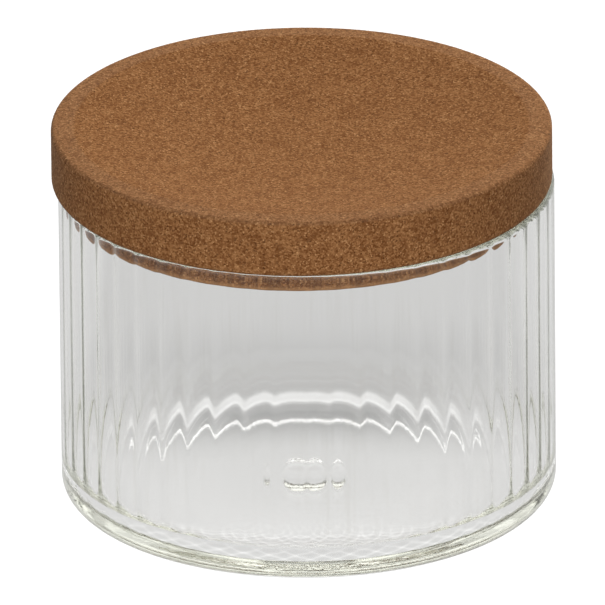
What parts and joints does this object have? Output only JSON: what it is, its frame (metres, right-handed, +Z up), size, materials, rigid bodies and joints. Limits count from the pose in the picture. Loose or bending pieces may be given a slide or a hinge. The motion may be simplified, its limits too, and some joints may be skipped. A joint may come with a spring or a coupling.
{
  "type": "glass jar with cork lid",
  "caption": "Low round clear glass jar with fine vertical ribs inside its wall and a rounded heel, closed by a turned cork lid with a dished top and a short plug that lifts out.",
  "frame": {"origin": "on the surface the jar stands on, at the jar's own axis", "axes": "+Z up along the jar's axis; -Y towards the viewer of the picture; the lid sits about 1 mm towards -X"},
  "size_m": [0.1064, 0.106, 0.0856],
  "materials": {
    "clear_glass": "clear heat-resistant glass, smooth outside, fine ribs inside, fire-polished rim",
    "cork": "pressed fine-grain cork, turned and sanded, matt and unsealed"
  },
  "bodies": {
    "jar": {"glass_jar": "clear_glass"},
    "lid": {"cork_lid": "cork"}
  },
  "joints": [
    {"name": "lid_lift", "type": "slide", "parent": "jar", "child": "lid", "axis": [0, 0, 1], "range_m": [0, 0.12]}
  ]
}
